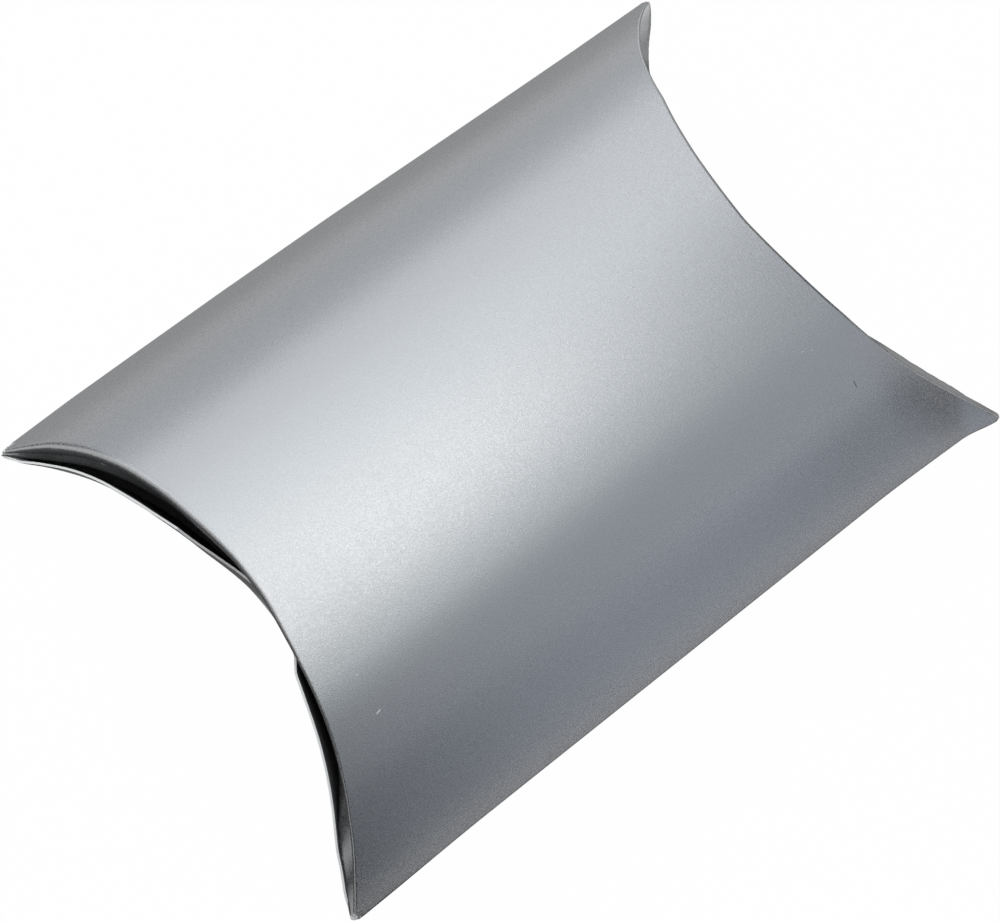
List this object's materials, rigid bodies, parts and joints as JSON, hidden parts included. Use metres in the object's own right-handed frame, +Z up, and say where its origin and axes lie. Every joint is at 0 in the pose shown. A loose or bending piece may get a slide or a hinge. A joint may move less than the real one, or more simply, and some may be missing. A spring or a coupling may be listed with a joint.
{
  "type": "pillow box",
  "caption": "Pillow box of satin silver card: bowed panels between straight side folds, closed at each end by curved flaps with a thumb notch.",
  "frame": {"origin": "under the middle of the box, on the surface that the lower panel's belly lies on", "axes": "+Z up through the crown of the top panel, +Y along the side folds towards the back end, +X across the box"},
  "size_m": [0.065, 0.091, 0.025],
  "materials": {
    "silver_card": "white board with a satin metallic silver outer face",
    "glue": "dried packaging glue"
  },
  "bodies": {
    "tube": {"top_panel": "silver_card", "bottom_panel": "silver_card", "plain_side_fold": "silver_card", "seam_side_fold": "silver_card", "glue_flap": "silver_card", "glue_line": "glue", "front_top_crease": "silver_card", "front_bottom_crease": "silver_card", "back_top_crease": "silver_card", "back_bottom_crease": "silver_card"},
    "front_outer": {"front_outer_flap": "silver_card"},
    "front_inner": {"front_inner_flap": "silver_card"},
    "back_outer": {"back_outer_flap": "silver_card"},
    "back_inner": {"back_inner_flap": "silver_card"}
  },
  "joints": [
    {"name": "front_outer_fold", "type": "hinge", "parent": "tube", "child": "front_outer", "pos_m": [0, -0.0332, 0.0002], "axis": [1, 0, 0], "range_deg": [0, 90]},
    {"name": "front_inner_fold", "type": "hinge", "parent": "tube", "child": "front_inner", "pos_m": [0, -0.0324, 0.0248], "axis": [-1, 0, 0], "range_deg": [0, 45]},
    {"name": "back_outer_fold", "type": "hinge", "parent": "tube", "child": "back_outer", "pos_m": [0, 0.0332, 0.0002], "axis": [-1, 0, 0], "range_deg": [0, 90]},
    {"name": "back_inner_fold", "type": "hinge", "parent": "tube", "child": "back_inner", "pos_m": [0, 0.0324, 0.0248], "axis": [1, 0, 0], "range_deg": [0, 45]}
  ],
  "couplings": [
    {"joint": "front_inner_fold", "follows": "front_outer_fold", "ratio": 0.5},
    {"joint": "back_inner_fold", "follows": "back_outer_fold", "ratio": 0.5}
  ]
}
